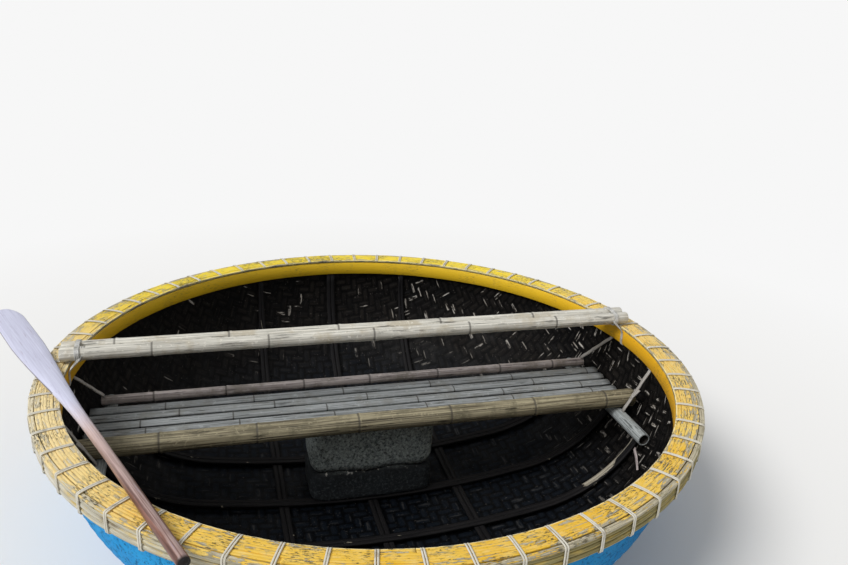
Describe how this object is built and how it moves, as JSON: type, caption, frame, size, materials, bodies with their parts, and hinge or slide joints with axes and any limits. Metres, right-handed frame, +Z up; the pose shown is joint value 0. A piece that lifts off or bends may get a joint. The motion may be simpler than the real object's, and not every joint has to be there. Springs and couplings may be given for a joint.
{
  "type": "round basket boat (coracle)",
  "caption": "Round woven bamboo basket boat with a lashed and stripped rim, a slatted bench, two poles tied across the rim and a paddle lying on it.",
  "frame": {"origin": "centre of the round hull at the water it floats on", "axes": "+X along the bench, with the paddle lying on the -X -Y side of the rim; +Y towards the side with the two rim poles; +Z up"},
  "size_m": [2.2085, 1.9994, 0.6153],
  "materials": {
    "hull_paint": "old paint over woven bamboo, tarred black inside",
    "rim_paint": "flaking paint on split bamboo",
    "bare_bamboo": "weathered",
    "cane": "weathered",
    "tarred_bamboo": "tarred",
    "old_bamboo": "worn",
    "grey_bamboo": "weathered grey",
    "black_block": "dull",
    "cord": "worn white cord",
    "paddle_wood": "faded paint on wood"
  },
  "bodies": {
    "boat": {"hull": "hull_paint", "inner_hoop": "rim_paint", "outer_hoop": "bare_bamboo", "rim_strip_1": "rim_paint", "rim_strip_2": "rim_paint", "rim_strip_3": "rim_paint", "rim_strip_4": "rim_paint", "rim_strip_5": "rim_paint", "rim_lashings": "cane", "lower_ribs": "tarred_bamboo", "upper_ribs": "tarred_bamboo", "bench_pole": "old_bamboo", "bearer_left": "grey_bamboo", "bearer_right": "grey_bamboo", "bench_slat_1": "grey_bamboo", "bench_slat_2": "grey_bamboo", "bench_slat_3": "grey_bamboo", "bench_slat_4": "grey_bamboo", "bench_slat_5": "grey_bamboo", "bench_rear_culm": "grey_bamboo", "hanger_front_left": "cane", "hanger_front_right": "cane", "hanger_rear_left": "cane", "hanger_rear_right": "cane", "block_upper": "black_block", "block_lower": "black_block", "rim_pole_front": "grey_bamboo", "rim_pole_rear": "grey_bamboo", "pole_tie_left": "cord", "pole_tie_right": "cord"},
    "paddle": {"paddle": "paddle_wood"}
  },
  "joints": [
    {"name": "paddle_lift", "type": "slide", "parent": "boat", "child": "paddle", "axis": [0, 0, 1], "range_m": [0, 0.4]}
  ]
}
